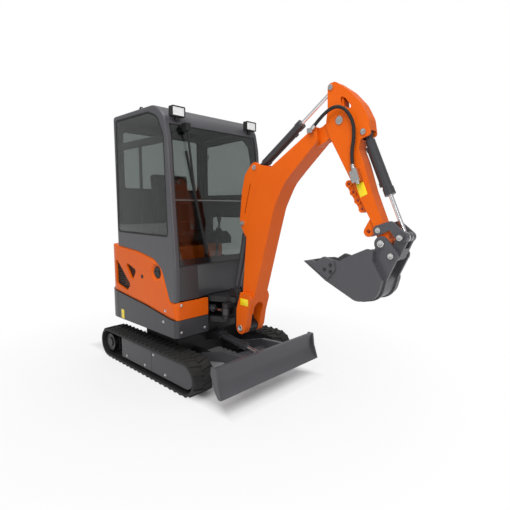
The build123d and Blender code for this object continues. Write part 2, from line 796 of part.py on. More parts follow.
pane_tall = door_top - belt_z
pane_rear_x = door_rear_x + 42
pane_points = [(pane_rear_x, belt_z), (pane_rear_x, door_top - 70), (front_x - 262, door_top - 55)]
pane_points += [(front_x - 182, belt_z + 0.767 * pane_tall), (front_x - 152, belt_z + 0.55 * pane_tall)]
upper_pane = outline(pane_points + [(front_x - 134, belt_z)], 45)
pane_low = floor_z + 234
pane_high = belt_z - 192
pane_points = [(sill_rear_x + 40, pane_low), (sill_rear_x + 40, pane_high)]
lower_pane = outline(pane_points + [(front_x - 122, pane_high), (front_x - 102, pane_low)], 45)
door = slab(door_face - upper_pane - lower_pane, inner_half, house_half)
for z in hinge_heights:
    knuckle = pillar(door_hinge_x, door_hinge_y, 11, z + 1, z + 31)
    knuckle += block(door_hinge_x, door_hinge_x + 60, house_half, door_hinge_y + 3, z + 1, z + 31)
    knuckle -= pillar(door_hinge_x, door_hinge_y, 5 + running_fit, z, z + 32)
    door += knuckle
save(door, "door")
pane_y = house_half - 24
door_glass = slab(offset(upper_pane, amount=-1), pane_y, pane_y + glass_thick)
door_glass += slab(offset(lower_pane, amount=-1), pane_y, pane_y + glass_thick)
save(door_glass, "door_glass")
handle_z = belt_z - 110
handle = block(300, 390, house_half + 12, house_half + 26, handle_z - 16, handle_z + 16)
handle = fillet(handle.edges().filter_by(Axis.X), 6)
for x in (308, 372):
    handle += block(x, x + 10, house_half, house_half + 14, handle_z - 10, handle_z + 10)
save(handle, "door_handle")

# Rear wall and its pane
rear_low = belt_z + 53
rear_high = cab_roof_z - 105
rear_mid = (0, (rear_high + rear_low) / 2)
rear_window = window(2 * inner_half - 70, rear_high - rear_low, rear_mid, 40)
rear_plane = Plane(origin=(cab_rear_x, 0, 0), x_dir=(0, 1, 0), z_dir=(1, 0, 0))
under_roof = cab_roof_z - roof_thick
rear = block(cab_rear_x, rear_inner_x, -inner_half, inner_half, bay_top_z, under_roof)
rear -= extrude(rear_plane * rear_window, amount=cab_wall)
save(rear, "cab_rear")
pane = rear_plane * Pos(0, 0, glass_inset) * offset(rear_window, amount=-1)
save(extrude(pane, amount=glass_thick), "glass_rear")

# Roof with its visor, and a lifting eye near the right edge
roof_keep = outline(
    [
        (cab_rear_x, under_roof),
        (front_x - 302, under_roof),
        (front_x - 302, visor_z),
        (past_front, visor_z),
        (past_front, cab_roof_z),
        (cab_rear_x, cab_roof_z),
    ]
)
roof = slab((cab_side - cab_inset(roof_thick)) & roof_keep, -inner_half, inner_half)
eye = Pos(-60, cab_roof_z + 4) * (Circle(30) - Circle(20))
eye &= Pos(-60, cab_roof_z + 40) * Rectangle(80, 84)
roof += slab(eye, 10 - inner_half, 20 - inner_half)
save(roof, "cab_roof")

# Front panel below the windscreen, dished for the swinging boom
dish_radius = (dish_half ** 2 + dish_depth ** 2) / (2 * dish_depth)
dish_x = front_x - 6 - dish_depth + dish_radius
panel_band = Pos(front_x, (floor_z + shield_low) / 2) * Rectangle(400, shield_low - floor_z)
front_panel = slab((cab_side - cab_inset(front_thick)) & panel_band, -inner_half, inner_half)
front_panel -= pillar(dish_x, 0, dish_radius, floor_z, shield_low)
dish = pillar(dish_x, 0, dish_radius + front_thick, floor_z, shield_low)
dish -= pillar(dish_x, 0, dish_radius, floor_z, shield_low)
dish &= slab(cab_side & panel_band, -dish_half, dish_half)
save(front_panel + dish, "cab_front")

# Windscreen in two panes
shield = cab_inset(glass_inset) - cab_inset(glass_inset + glass_thick)
panes = []
for low, high in ((shield_low, shield_split - 2), (shield_split + 2, visor_z)):
    band = Pos(front_x, (low + high) / 2) * Rectangle(400, high - low)
    panes.append(slab(shield & band, -inner_half, inner_half))
save(Compound(panes), "windshield")

# Cab floor, and the orange seat box beside and behind it
box_low = floor_z + floor_thick
floor_band = Pos((step_x + past_front) / 2, floor_z + floor_thick / 2)
floor_band *= Rectangle(past_front - step_x, floor_thick)
floor = slab(cab_inset(front_thick) & floor_band, -inner_half, inner_half)
floor -= pillar(dish_x, 0, dish_radius + front_thick, floor_z, box_low)
save(floor, "cab_floor")

box_points = [(rear_inner_x, -inner_half), (seat_box_x, -inner_half), (seat_box_x, seat_box_y)]
box_points += [(step_x, seat_box_y), (step_x, inner_half), (rear_inner_x, inner_half)]
box_high = seat_deck_z - floor_thick
box_wide = inner_half - floor_thick
seat_box = upright(outline(box_points), box_low, seat_deck_z)
seat_box -= block(rear_inner_x, step_x - floor_thick, -box_wide, box_wide, box_low, box_high)
inside_x = seat_box_x - floor_thick
inside_y = seat_box_y - floor_thick
seat_box -= block(rear_inner_x, inside_x, -box_wide, inside_y, box_low, box_high)
save(seat_box, "seat_box")

# Seat with cushion and raked back
cushion = block(-360, 70, -seat_half, seat_half, seat_deck_z, seat_deck_z + 120)
cushion = fillet(cushion.edges().filter_by(Axis.Z), 60)
cushion = fillet(cushion.faces().sort_by(Axis.Z)[-1].edges(), 30)
back_points = [(-352, seat_deck_z + 40), (-225, seat_deck_z + 40), (-285, seat_deck_z + 520)]
back_points += [(-330, seat_deck_z + 690), (-385, seat_deck_z + 690)]
seat_back = slab(outline(back_points, [5, 5, 60, 22, 22]), 15 - seat_half, seat_half - 15)
save(cushion + seat_back, "seat")

# Side consoles, their joysticks and the travel levers
console_in = seat_half + 75
console_out = inner_half - 25
console_top = seat_deck_z + console_high
consoles = []
for side in (-1, 1):
    console = block(-330, 60, console_in, console_out, seat_deck_z, console_top)
    top_edges = console.edges().filter_by(Axis.Y).sort_by(Axis.Z)[-2:]
    console = chamfer(top_edges.sort_by(Axis.X)[-1:], 60)
    console = fillet(console.edges().filter_by(Axis.X).sort_by(Axis.Z)[-2:], 20)
    consoles.append(console if side > 0 else mirror(console, about=Plane.XZ))
save(Compound(consoles), "consoles")
console_y = (console_in + console_out) / 2
levers = []
for y in (-console_y, console_y):
    stick = pillar(-40, y, 9, console_top, console_top + 110)
    stick += pillar(-40, y, 24, console_top, console_top + 22)
    grip = pillar(-40, y, 19, console_top + 90, console_top + 190)
    levers.append(stick + fillet(grip.edges(), 10))
for y in (-60, 60):
    lever = strut((248, y, floor_z), (300, y, floor_z + 520), 16, 16)
    lever += Pos(303, y, floor_z + 540) * Sphere(22)
    levers.append(lever & block(0, front_x, -200, 200, box_low, cab_roof_z))
save(Compound(levers), "control_levers")

# Work lamps on brackets under the roof edge
lamp_y = inner_half - 69
lamp_z = cab_roof_z - 66
lamp_x = front_x - 60
cab_solid = slab(cab_side, -inner_half, inner_half)
lamps = []
for y in (-lamp_y, lamp_y):
    lamp = block(lamp_x - 44, lamp_x, y - 62, y + 62, lamp_z - 40, lamp_z + 40)
    lamp = fillet(lamp.edges().filter_by(Axis.X), 10)
    lamp -= block(lamp_x - 6, lamp_x + 1, y - 53, y + 53, lamp_z - 32, lamp_z + 32)
    lamp += block(lamp_x - 70, lamp_x - 26, y - 10, y + 10, lamp_z - 62, lamp_z - 38)
    lamp += pillar(lamp_x - 33, y, 13, lamp_z - 66, lamp_z - 38)
    lamps.append(lamp - cab_solid)
save(Compound(lamps), "work_lamps")


# Windscreen wiper: motor box under the visor, arm and blade along the glass
def screen_x(z):
    return brow_x + (brow_z - z) * (chin_x - brow_x) / (brow_z - chin_z)


wiper = block(brow_x - 23, brow_x + 37, -350, -306, visor_z - 45, visor_z + 12) - cab_solid
wipe_top = cab_roof_z - 357
wipe_foot = chin_z - 20
joint_z = wipe_top - 0.39 * (wipe_top - wipe_foot)
arm_root = (brow_x + 17, -328, visor_z - 20)
wiper += strut(arm_root, (screen_x(joint_z) + 16, -283, joint_z), 14, 10) - cab_solid
wipe_start = (screen_x(wipe_top) + 6, -338, wipe_top)
wipe = strut(wipe_start, (screen_x(wipe_foot) + 6, -192, wipe_foot), 10, 24)
wiper += wipe - slab(cab_inset(glass_inset), -inner_half, inner_half)
save(wiper, "wiper")

# Boom: box section, gusset cheeks at the back, fork at the foot
boom_points = [(725, 600), (751, 730), (793, 1192), (835, 1400), (905, 1600), (1000, 1705)]
boom_points += [(1033, 1722), (1440, 1966), (1452, 1868), (1269, 1700), (1170, 1605)]
boom_points += [(1081, 1440), (1012, 1203), (878, 730), (850, 600)]
boom_radii = [5, 80, 200, 200, 200, 60, 200, 10, 10, 300, 300, 300, 300, 80, 5]
boom = slab(outline(boom_points, boom_radii), -boom_half, boom_half)
fork_points = [(715, 480), (716, 628), (751, 730), (793, 960), (878, 730), (843, 610), (820, 480)]
fork_face = outline(fork_points, [8, 30, 30, 8, 30, 30, 8]) + disc(boom_foot, 48)
boom += both(fork_face, fork_gap, fork_half)
flare = boom_foot[1] + 290
flare_cut = Pos(800, flare + 115) * Rectangle(400, 230)
boom -= both(flare_cut, boom_half, fork_half + 1)
crotch = boom_foot[1] + 160
boom -= block(600, 1000, -fork_gap, fork_gap, crotch - 340, crotch)
boom -= Pos(800, 0, crotch) * Rot(0, 90, 0) * Cylinder(fork_gap, 400)
gusset_points = [(801, 1180), (739, 1277), (716, 1339), (741, 1563), (775, 1690), (850, 1772)]
gusset_points += [(1010, 1740), (1060, 1700), (860, 1400)]
gusset = outline(gusset_points, [20, 20, 30, 100, 60, 20, 30, 20, 60]) + disc(arm_cyl_base, 40)
gusset -= rounded_link([((772, 1399), 5), ((831, 1616), 5)])
boom += both(gusset, gusset_half - gusset_thick, gusset_half)
boom -= drum(boom_cyl_rod, rod_pocket, -eye_half - side_gap, eye_half + side_gap)
boom += drums(boom_cyl_rod, small_pin, eye_half + side_gap, gusset_half + 8)
boom += drum(arm_cyl_base, small_pin, -gusset_half - 8, gusset_half + 8)
tip_face = rounded_link([(arm_pivot, 52), ((1470, 1910), 50)])
tip_face += outline([(1420, 1955), (1470, 1962), (1500, 1870), (1420, 1835)])
boom += slab(tip_face, -tip_half, tip_half)
boom -= drum(arm_pivot, foot_pin + running_fit, -tip_half, tip_half)
boom += drum(boom_foot, foot_pin, -fork_half - 6, fork_half + 6)
save(boom, "boom")

barrel, rod = ram(boom_cyl_base, boom_cyl_rod, boom_barrel, boom_travel)
save(barrel, "boom_cylinder")
save(rod, "boom_rod")

# Arm: two cheek plates, crest for the cylinders, closed lower box
arm_points = [(1497, 1960), (1508, 2060), (1505, 2215), (1560, 2222), (1664, 2147), (1747, 2059)]
arm_points += [(1798, 1966), (1815, 1868), (1750, 1850), (1738, 1792), (1774, 1710), (1833, 1533)]
arm_points += [(1905, 1361), (1960, 1260), (1905, 1200), (1845, 1341), (1523, 1895)]
arm_radii = [60, 60, 26, 30, 150, 150, 100, 20, 20, 40, 100, 100, 60, 40, 30, 60, 60]
arm_face = outline(arm_points, arm_radii)
crest_hole = outline([(1598, 2133), (1640, 2105), (1700, 2028), (1610, 2068)], 10)
arm_piece = slab(arm_face - crest_hole, -arm_half, arm_half)
hollow_points = [(1440, 1840), (1440, 2260), (1560, 2260), (1650, 2130), (1725, 2050)]
hollow_points += [(1780, 1950), (1840, 1840), (1700, 1850), (1640, 1850)]
hollow = outline(hollow_points) + disc(arm_pivot, 130)
arm_piece -= slab(hollow, -arm_gap, arm_gap)
crest = [ThreePointArc((1568, 2190), (1690, 2085), (1772, 1956)), Line((1772, 1956), (1794, 1962))]
crest += [ThreePointArc((1794, 1962), (1708, 2104), (1576, 2214)), Line((1576, 2214), (1568, 2190))]
arm_piece += slab(make_face(Curve() + crest) & arm_face, -arm_gap, arm_gap)
arm_piece += slab(outline([(1604, 2126), (1616, 2120), (1622, 2062), (1610, 2064)]), -arm_gap, arm_gap)
arm_piece += drum(bucket_pin, arm_boss, side_gap - ear_inner, ear_inner - side_gap)
arm_piece += drum(rocker_pin, 36, side_gap - rocker_inner, rocker_inner - side_gap)
arm_piece -= drum(bucket_pin, bucket_pin_radius + running_fit, -ear_inner, ear_inner)
arm_piece += drum(rocker_pin, small_pin, -rocker_outer - side_gap, rocker_outer + side_gap)
arm_piece += drum(arm_pivot, foot_pin, -arm_half - 6, arm_half + 6)
arm_piece += drums(arm_cyl_rod, small_pin, eye_half + side_gap, arm_half + 6)
arm_piece += drum(bucket_cyl_base, small_pin, -arm_half - 6, arm_half + 6)

# Thumb bracket: a row of bossed holes on the back of the arm and a pivot boss below
spots = []
for i in range(hole_count):
    t = i / (hole_count - 1)
    x = hole_first[0] + t * (hole_last[0] - hole_first[0])
    z = hole_first[1] + t * (hole_last[1] - hole_first[1])
    spots.append((x, z))
comb = rounded_link([(spots[0], 20), (spots[-1], 20), ((1740, 1600), 20), ((1800, 1480), 20)])
arm_piece += slab(comb, 6 - comb_half, comb_half - 6)
for spot in spots:
    arm_piece += drum(spot, 24, -comb_half, comb_half)
thumb_foot = rounded_link([(thumb_boss, 32), ((1870, 1330), 24), ((1850, 1380), 20)])
arm_piece += slab(thumb_foot, -30, 30)
for spot in spots:
    arm_piece -= drum(spot, thumb_bore, -60, 60)
arm_piece -= drum(thumb_boss, thumb_pivot_bore, -60, 60)
save(arm_piece, "arm")

barrel, rod = ram(arm_cyl_base, arm_cyl_rod, arm_barrel, arm_travel, eye_half, True)
save(barrel, "arm_cylinder")
save(rod, "arm_rod")

# Bucket linkage
barrel, rod = ram(bucket_cyl_base, knee_pin, bucket_barrel, bucket_travel, knee_eye_half, True)
save(barrel, "bucket_cylinder")
save(rod, "bucket_rod")

rocker_face = rounded_link([(rocker_pin, 30), (rocker_bend, 24)])
rocker_face += rounded_link([(rocker_bend, 24), (knee_pin, 32)])
rocker_face -= disc(rocker_pin, small_pin + running_fit)
rocker = both(rocker_face, rocker_inner, rocker_outer)
rocker += drums(knee_pin, small_pin, 30, 98)
save(rocker, "rocker")

link_face = rounded_link([(knee_pin, 32), (link_pin, 34)])
link_face -= disc(knee_pin, small_pin + running_fit)
link_face -= disc(link_pin, small_pin + running_fit)
link = slab(link_face, -link_half, link_half)
link -= slab(disc(knee_pin, 66), -28, 28)
save(link, "bucket_link")

# Bucket: folded shell, side cutters, ears that run on as wear ribs round the back
bucket_points = [(1398, 1086), (1470, 1094), (1503, 1089), (1562, 1127), (1664, 1104), (1749, 1147)]
bucket_points += [(1860, 1197), (1900, 1190), (1897, 1125), (1962, 1020), (1930, 900), (1800, 868)]
bucket_points += [(1576, 972)]
bucket_face = outline(bucket_points, [2, 4, 10, 10, 30, 60, 25, 12, 30, 60, 90, 90, 30])
cavity = offset(bucket_face, amount=-bucket_sheet)
cavity += outline([(1440, 1060), (1400, 1300), (1860, 1300), (1880, 1180), (1840, 1060)])
cavity -= outline([(1380, 1110), (1600, 960), (1500, 940), (1380, 1020)])
bucket = slab(bucket_face, -bucket_half, bucket_half)
bucket -= slab(cavity, bucket_sheet - bucket_half, bucket_half - bucket_sheet)
cutter_points = [(1424, 1087), (1470, 1094), (1503, 1089), (1562, 1127), (1640, 1110)]
cutter = outline(cutter_points + [(1652, 1050), (1600, 985)]) & bucket_face
bucket += both(cutter, bucket_half, bucket_half + cutter_thick)
ear_face = rounded_link([(bucket_pin, 44), (link_pin, 40)])
leg_points = [(1890, 1215), (1985, 1215), (2028, 1150), (1960, 1000), (1940, 960), (1930, 1040)]
ear_face += outline(leg_points + [(1880, 1120)])
bucket += both(ear_face, ear_inner, ear_outer) - slab(cavity, -bucket_half, bucket_half)
rib_face = offset(bucket_face, amount=rib_height) - bucket_face
rib_face &= outline([(1700, 1000), (1940, 1000), (1990, 1040), (2060, 960), (2000, 820), (1700, 820)])
bucket += both(rib_face, ear_inner, ear_outer)
bucket += drum(bucket_pin, bucket_pin_radius, -ear_outer - 10, ear_outer + 10)
bucket += drums(link_pin, small_pin, link_half + side_gap, ear_outer + 10)
save(bucket, "bucket")

# Spare hose along the right side, from a fitting on the boom to a coupler on the arm
boom_hose_y = -boom_half - hose_fitting
arm_hose_y = -arm_half - 22
hose_points = [
    (1440, boom_hose_y, 1968),
    (1530, boom_hose_y, 2052),
    (1640, boom_hose_y + 2, 2058),
    (1716, boom_hose_y + 8, 1960),
    (1720, arm_hose_y - 4, 1850),
    (1702, arm_hose_y, 1775),
    (1712, arm_hose_y, 1700),
]
runs = [Vector(*b) - Vector(*a) for a, b in zip(hose_points, hose_points[1:])]
bends = []
for before, after in zip(runs, runs[1:]):
    half_angle = radians(before.get_angle(after) / 2)
    bends.append(0.45 * min(before.length, after.length) / tan(half_angle))
hose_path = FilletPolyline(*hose_points, radius=bends)
hose = sweep(Plane(origin=hose_points[0], z_dir=runs[0]) * Circle(hose_radius), path=hose_path)
save(hose, "spare_hose")
hose_volume = pi * hose_radius ** 2 * hose_path.length
print("hose length", round(hose_path.length), "mm, volume", round(hose_volume / 1000), "cm3")
print("hose bend radii", [round(b) for b in bends])

fitting_start = Vector(*hose_points[0]) - runs[0].normalized() * 46
fitting = Plane(origin=fitting_start, z_dir=runs[0]) * Pos(0, 0, 23) * Cylinder(hose_fitting, 46)
fitting += Pos(*fitting_start) * Box(40, 2 * hose_fitting, 30)
save(fitting, "boom_fitting")

coupler = Plane(origin=hose_points[-1], z_dir=runs[-1]) * Pos(0, 0, 22) * Cylinder(13, 44)
block_spot = Pos(1738, arm_hose_y, 1628) * Rot(0, -20, 0)
coupler += block_spot * Box(54, 44, 74)
coupler += block_spot * Pos(0, 0, 40) * Cylinder(17, 24)
coupler += block_spot * Pos(0, 0, -42) * Cylinder(hose_fitting, 20)
save(coupler, "arm_coupler")
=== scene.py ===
# %% [markdown]
# # A mini excavator, dressed in Blender
# The solids come from a CAD model and arrive as a fixed frame. This lesson gives them
# their finishes, adds the small pieces that a CAD model leaves out, and sets up a camera,
# soft light and a pale floor, as in a product picture.

# %% Load the frame
import math
import bpy
from mathutils import Euler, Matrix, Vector


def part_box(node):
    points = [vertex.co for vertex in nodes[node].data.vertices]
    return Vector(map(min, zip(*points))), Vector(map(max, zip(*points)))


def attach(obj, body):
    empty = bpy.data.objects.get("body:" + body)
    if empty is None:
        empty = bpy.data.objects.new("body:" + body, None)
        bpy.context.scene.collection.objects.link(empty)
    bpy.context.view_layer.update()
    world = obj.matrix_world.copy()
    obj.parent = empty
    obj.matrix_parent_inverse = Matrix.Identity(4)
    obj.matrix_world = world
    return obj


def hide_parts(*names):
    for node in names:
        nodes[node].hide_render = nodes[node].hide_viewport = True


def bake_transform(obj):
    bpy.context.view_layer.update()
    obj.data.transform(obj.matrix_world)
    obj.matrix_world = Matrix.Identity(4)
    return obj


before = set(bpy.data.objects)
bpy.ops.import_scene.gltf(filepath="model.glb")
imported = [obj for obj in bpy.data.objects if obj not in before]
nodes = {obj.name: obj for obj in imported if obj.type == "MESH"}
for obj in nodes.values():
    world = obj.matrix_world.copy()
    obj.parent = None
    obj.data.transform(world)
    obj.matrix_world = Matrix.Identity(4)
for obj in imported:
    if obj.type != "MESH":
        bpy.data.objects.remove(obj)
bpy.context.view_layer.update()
scene = bpy.context.scene

# %% [markdown]
# ## Camera
# The picture was taken from the front right corner, a little below the roof line, so the
# camera stands at 1.4 m and looks slightly down. A lens of 28 mm on a full-frame sensor
# gives the same mild perspective: the near track is larger than the far one.

# %% Camera at the picture's angle
tilt_down = math.radians(6.68)
turn_left = math.radians(44.09)
camera = bpy.data.objects.new("camera", bpy.data.cameras.new("camera"))
scene.collection.objects.link(camera)
camera.location = (3.017, -2.267, 1.435)
camera.rotation_euler = Euler((math.radians(90) - tilt_down, 0, turn_left))
camera.data.lens = 28.26
camera.data.sensor_width = 36
scene.camera = camera
print("camera at", tuple(round(x, 2) for x in camera.location))

# %% [markdown]
# ## Light and floor
# Product pictures are lit by large soft boxes, which leave only a faint contact shadow.
# Area lamps stand for the soft boxes, and a pale sky fills the shade. The sky is white where
# the camera sees it, straight or through glass, and a dimmer light otherwise. The floor is
# white where it is seen, mirrored or looked at through glass, but under the machine that glow
# is held back, so the floor there shows its real shadow with painted shade on top. So the
# light on the machine itself stays at a plain level.

# %% Colours from hex, and one function that adds a shader node
def linear(hex_code):
    channels = [int(hex_code[i:i + 2], 16) / 255 for i in (1, 3, 5)]
    curve = [c / 12.92 if c <= 0.04045 else ((c + 0.055) / 1.055) ** 2.4 for c in channels]
    return (*curve, 1.0)


def add_node(tree, kind, settings=None, links=None):
    node = tree.nodes.new("ShaderNode" + kind)
    for name, value in (settings or {}).items():
        if isinstance(name, int) or name in node.inputs:
            node.inputs[name].default_value = value
        else:
            setattr(node, name, value)
    for name, socket in (links or {}).items():
        tree.links.new(socket, node.inputs[name])
    return node


print("orange in linear light:", [round(c, 3) for c in linear("#DC5F0A")])

# %% Sky
world = bpy.data.worlds.new("studio")
scene.world = world
world.use_nodes = True
tree = world.node_tree
seen = add_node(tree, "LightPath")
direct = add_node(tree, "Math", {"operation": "MAXIMUM"},
                  {0: seen.outputs["Is Camera Ray"], 1: seen.outputs["Is Transmission Ray"]})
sky_light = 0.50
level = add_node(tree, "MapRange", {"To Min": sky_light, "To Max": 1.0}, {"Value": direct.outputs[0]})
sky = tree.nodes["Background"]
sky.inputs["Color"].default_value = linear("#FFFFFF")
tree.links.new(level.outputs[0], sky.inputs["Strength"])
scene.view_settings.view_transform = "Standard"
print("sky is white to the camera and lights at", sky_light)

# %% Floor, with real shadow and painted shade under the machine, faintly shaded beside it and white further out
floor_size = 60
machine_half = (1.05, 0.5, 1.0)
# The smallest glow share, the one under the machine, paints shade there.
glow_under_painted_shade, glow_beside, glow_more_outside = 0.04, 0.78, 0.22
bpy.ops.object.select_all(action="DESELECT")
bpy.ops.mesh.primitive_grid_add(x_subdivisions=4, y_subdivisions=4, size=floor_size, location=(0, 0, 0))
floor = bpy.context.object
floor.name = "studio_floor"
finish = bpy.data.materials.new("matt_white_floor")
finish.use_nodes = True
tree = finish.node_tree
tree.nodes.clear()
paint = add_node(tree, "BsdfDiffuse", {"Color": linear("#C2C2C4")})
glow = add_node(tree, "Emission", {"Color": linear("#FFFFFF"), "Strength": 1.0})
seen = add_node(tree, "LightPath")
looked = add_node(tree, "Math", {"operation": "MAXIMUM"},
                  {0: seen.outputs["Is Camera Ray"], 1: seen.outputs["Is Glossy Ray"]})
looked = add_node(tree, "Math", {"operation": "MAXIMUM"},
                  {0: looked.outputs[0], 1: seen.outputs["Is Transmission Ray"]})
place = add_node(tree, "TexCoord").outputs["Object"]
away = add_node(tree, "VectorMath", {"operation": "LENGTH"}, {0: place})
far = add_node(tree, "MapRange",
               {"From Min": 0.9, "From Max": 2.4, "To Min": 0.0, "To Max": glow_more_outside},
               {"Value": away.outputs["Value"]})
shrunk = add_node(tree, "VectorMath", {"operation": "DIVIDE", 1: machine_half}, {0: place})
folded = add_node(tree, "VectorMath", {"operation": "ABSOLUTE"}, {0: shrunk.outputs[0]})
sides = add_node(tree, "SeparateXYZ", None, {0: folded.outputs[0]})
reach = add_node(tree, "Math", {"operation": "MAXIMUM"}, {0: sides.outputs["X"], 1: sides.outputs["Y"]})
# Inside the machine's footprint the white glow is held back: painted shade under the machine, on top of its
# real shadow.
near = add_node(tree, "MapRange",
                {"From Min": 0.88, "From Max": 1.1, "To Min": glow_under_painted_shade, "To Max": glow_beside},
                {"Value": reach.outputs[0]})
share = add_node(tree, "Math", {"operation": "ADD"}, {0: near.outputs[0], 1: far.outputs[0]})
white = add_node(tree, "Math", {"operation": "MULTIPLY"}, {0: share.outputs[0], 1: looked.outputs[0]})
both = add_node(tree, "MixShader", None, {0: white.outputs[0], 1: paint.outputs[0], 2: glow.outputs[0]})
add_node(tree, "OutputMaterial", None, {"Surface": both.outputs[0]})
floor.data.materials.append(finish)
print("floor is", floor.dimensions[0], "m wide")

# %% Three soft boxes and a tall strip light
mirrored_lamps = ("top_box", "strip_box")
for name, place, aim, size, power in (
    ("key_box", (2.5, -3.5, 5.5), (0.6, 0, 0.8), (4.0, 4.0), 230),
    ("rim_box", (-3.5, 2.5, 5.0), (0.2, 0, 1.0), (4.0, 4.0), 130),
    ("top_box", (0.8, 0.0, 6.5), (0.4, 0, 0.0), (4.0, 3.0), 130),
    ("strip_box", (5.2, -3.4, 1.9), (0.4, 0, 1.2), (0.7, 3.2), 65),
):
    lamp = bpy.data.lights.new(name, "AREA")
    lamp.shape = "RECTANGLE"
    lamp.size, lamp.size_y = size
    lamp.energy = power
    box = bpy.data.objects.new(name, lamp)
    scene.collection.objects.link(box)
    box.location = place
    box.rotation_euler = (Vector(aim) - Vector(place)).to_track_quat("-Z", "Y").to_euler()
    box.visible_glossy = name in mirrored_lamps
    print(name, power, "W")

# %% [markdown]
# ## Finishes
# Each finish starts from the real surface. Paint on sheet steel is a coloured enamel under
# a clear gloss, with a faint orange-peel ripple from the spray gun. Patterns read Object
# coordinates, which are metres here, so a scale of 1000 / size_mm gives one feature a size.

# %% One start for every finish
def new_finish(name, **sockets):
    made = bpy.data.materials.new(name)
    made.use_nodes = True
    shader = made.node_tree.nodes["Principled BSDF"]
    for key, value in sockets.items():
        shader.inputs[key.replace("_", " ")].default_value = value
    return made, made.node_tree, shader


def per_metre(size_mm):
    return 1000.0 / size_mm


def two_tones(tree, place, patch_mm, detail, light, dark, margin=0.0):
    cloud = add_node(tree, "TexNoise", {"Scale": per_metre(patch_mm), "Detail": detail}, {"Vector": place})
    tone = add_node(tree, "ValToRGB", None, {"Fac": cloud.outputs["Fac"]})
    first, last = tone.color_ramp.elements
    first.color, last.color = linear(dark), linear(light)
    first.position, last.position = margin, 1 - margin
    return cloud.outputs["Fac"], tone.outputs["Color"]


def uneven_gloss(tree, shader, cloud, low, high):
    gloss = add_node(tree, "MapRange", {"To Min": low, "To Max": high}, {"Value": cloud})
    tree.links.new(gloss.outputs[0], shader.inputs["Roughness"])


def broken_edges(tree):
    return add_node(tree, "Bevel", {"samples": 4, "Radius": 0.003}).outputs[0]


print("one feature of 9 mm needs a scale of", round(per_metre(9)))

# %% [markdown]
# ### Enamel
# The body panels and the boom are sprayed with orange enamel, the cab, blade and bucket
# with dark grey. The eye sees a soft gloss, slightly uneven. Pressed and cut steel has
# edges broken by 2 to 3 mm. A Bevel node rounds the edges for the light, and where its
# normal leaves the flat one, a paler tone is painted on as a highlight along the edge.
# The ripple of the spray is about 2 mm and would vanish here, so it is drawn at 9 mm.

# %% Orange, grey and black enamel
def enamel(name, light, dark, edge, roughness, coat, mirror=0.4):
    made, tree, shader = new_finish(name, Coat_Weight=coat, Coat_Roughness=0.12, IOR=1.45,
                                    Specular_IOR_Level=mirror)
    place = add_node(tree, "TexCoord").outputs["Object"]
    cloud, tone = two_tones(tree, place, 350, 3.0, light, dark, margin=0.3)
    broken = broken_edges(tree)
    flat = add_node(tree, "NewGeometry")
    turn = add_node(tree, "VectorMath", {"operation": "DOT_PRODUCT"}, {0: broken, 1: flat.outputs["Normal"]})
    # The paler edge tone mixed in here is a painted highlight along the broken edges.
    rim = add_node(tree, "MapRange", {"From Min": 0.99, "From Max": 0.8, "To Min": 0.0, "To Max": 0.45},
                   {"Value": turn.outputs["Value"]})
    mixed = add_node(tree, "Mix", {"data_type": "RGBA", 7: linear(edge)}, {0: rim.outputs[0], 6: tone})
    tree.links.new(mixed.outputs[2], shader.inputs["Base Color"])
    uneven_gloss(tree, shader, cloud, roughness - 0.05, roughness + 0.05)
    peel = add_node(tree, "TexNoise", {"Scale": per_metre(9), "Detail": 1.0}, {"Vector": place})
    ripple = add_node(tree, "Bump", {"Strength": 0.03, "Distance": 0.001},
                      {"Height": peel.outputs["Fac"], "Normal": broken})
    tree.links.new(ripple.outputs[0], shader.inputs["Normal"])
    return made


# The third colour of each enamel is its painted edge highlight.
orange = enamel("orange_enamel", "#DC5F0A", "#D65A07", "#E87A34", 0.42, 0.05, 0.25)
grey = enamel("grey_enamel", "#4B4B4F", "#47474B", "#68686C", 0.40, 0.2)
# A darker copy of the grey enamel, used as painted shade on grey parts that sit in shade.
painted_shade_grey = enamel("painted_shade_grey_enamel", "#38383B", "#353538", "#58585B", 0.42, 0.2)
black = enamel("black_enamel", "#232325", "#1F1F21", "#3A3A3C", 0.5, 0.15)
yellow = enamel("yellow_film", "#F0D512", "#EACD10", "#F2DC50", 0.3, 0.5)
print("enamels:", orange.name, grey.name, painted_shade_grey.name, black.name, yellow.name)

# %% [markdown]
# ### Rubber, plastic and seat cover
# Track rubber is matt and almost black, with a grey bloom of dust in the pattern. Moulded
# plastic has a fine spark-eroded grain. The seat is covered in vinyl.

# %% Rubber and plastic
def moulded(name, light, dark, roughness, grain_mm, depth):
    made, tree, shader = new_finish(name, IOR=1.5)
    place = add_node(tree, "TexCoord").outputs["Object"]
    cloud, tone = two_tones(tree, place, 120, 4.0, light, dark)
    tree.links.new(tone, shader.inputs["Base Color"])
    uneven_gloss(tree, shader, cloud, roughness - 0.08, roughness + 0.08)
    grain = add_node(tree, "TexNoise", {"Scale": per_metre(grain_mm), "Detail": 2.0}, {"Vector": place})
    bump = add_node(tree, "Bump", {"Strength": 0.25, "Distance": depth},
                    {"Height": grain.outputs["Fac"], "Normal": broken_edges(tree)})
    tree.links.new(bump.outputs[0], shader.inputs["Normal"])
    return made


rubber = moulded("track_rubber", "#262625", "#141414", 0.72, 6, 0.0008)
plastic = moulded("black_plastic", "#232324", "#1A1A1B", 0.55, 4, 0.0004)
vinyl = moulded("seat_vinyl", "#211B1B", "#171314", 0.5, 5, 0.0005)
iron = moulded("cast_iron", "#3A3A3A", "#2A2A2A", 0.6, 5, 0.0006)
print("moulded:", rubber.name, plastic.name, vinyl.name, iron.name)

# %% [markdown]
# ### Bare metal and glass
# Cylinder rods are hard-chromed and ground, and the forged eye welded to the end of each is
# painted dark. Pin ends are turned and zinc-plated, wheels are worn. The panes are toughened
# glass with a grey tint that lets about a third of the light through, and the windscreen has
# a black printed band along its lower edge.

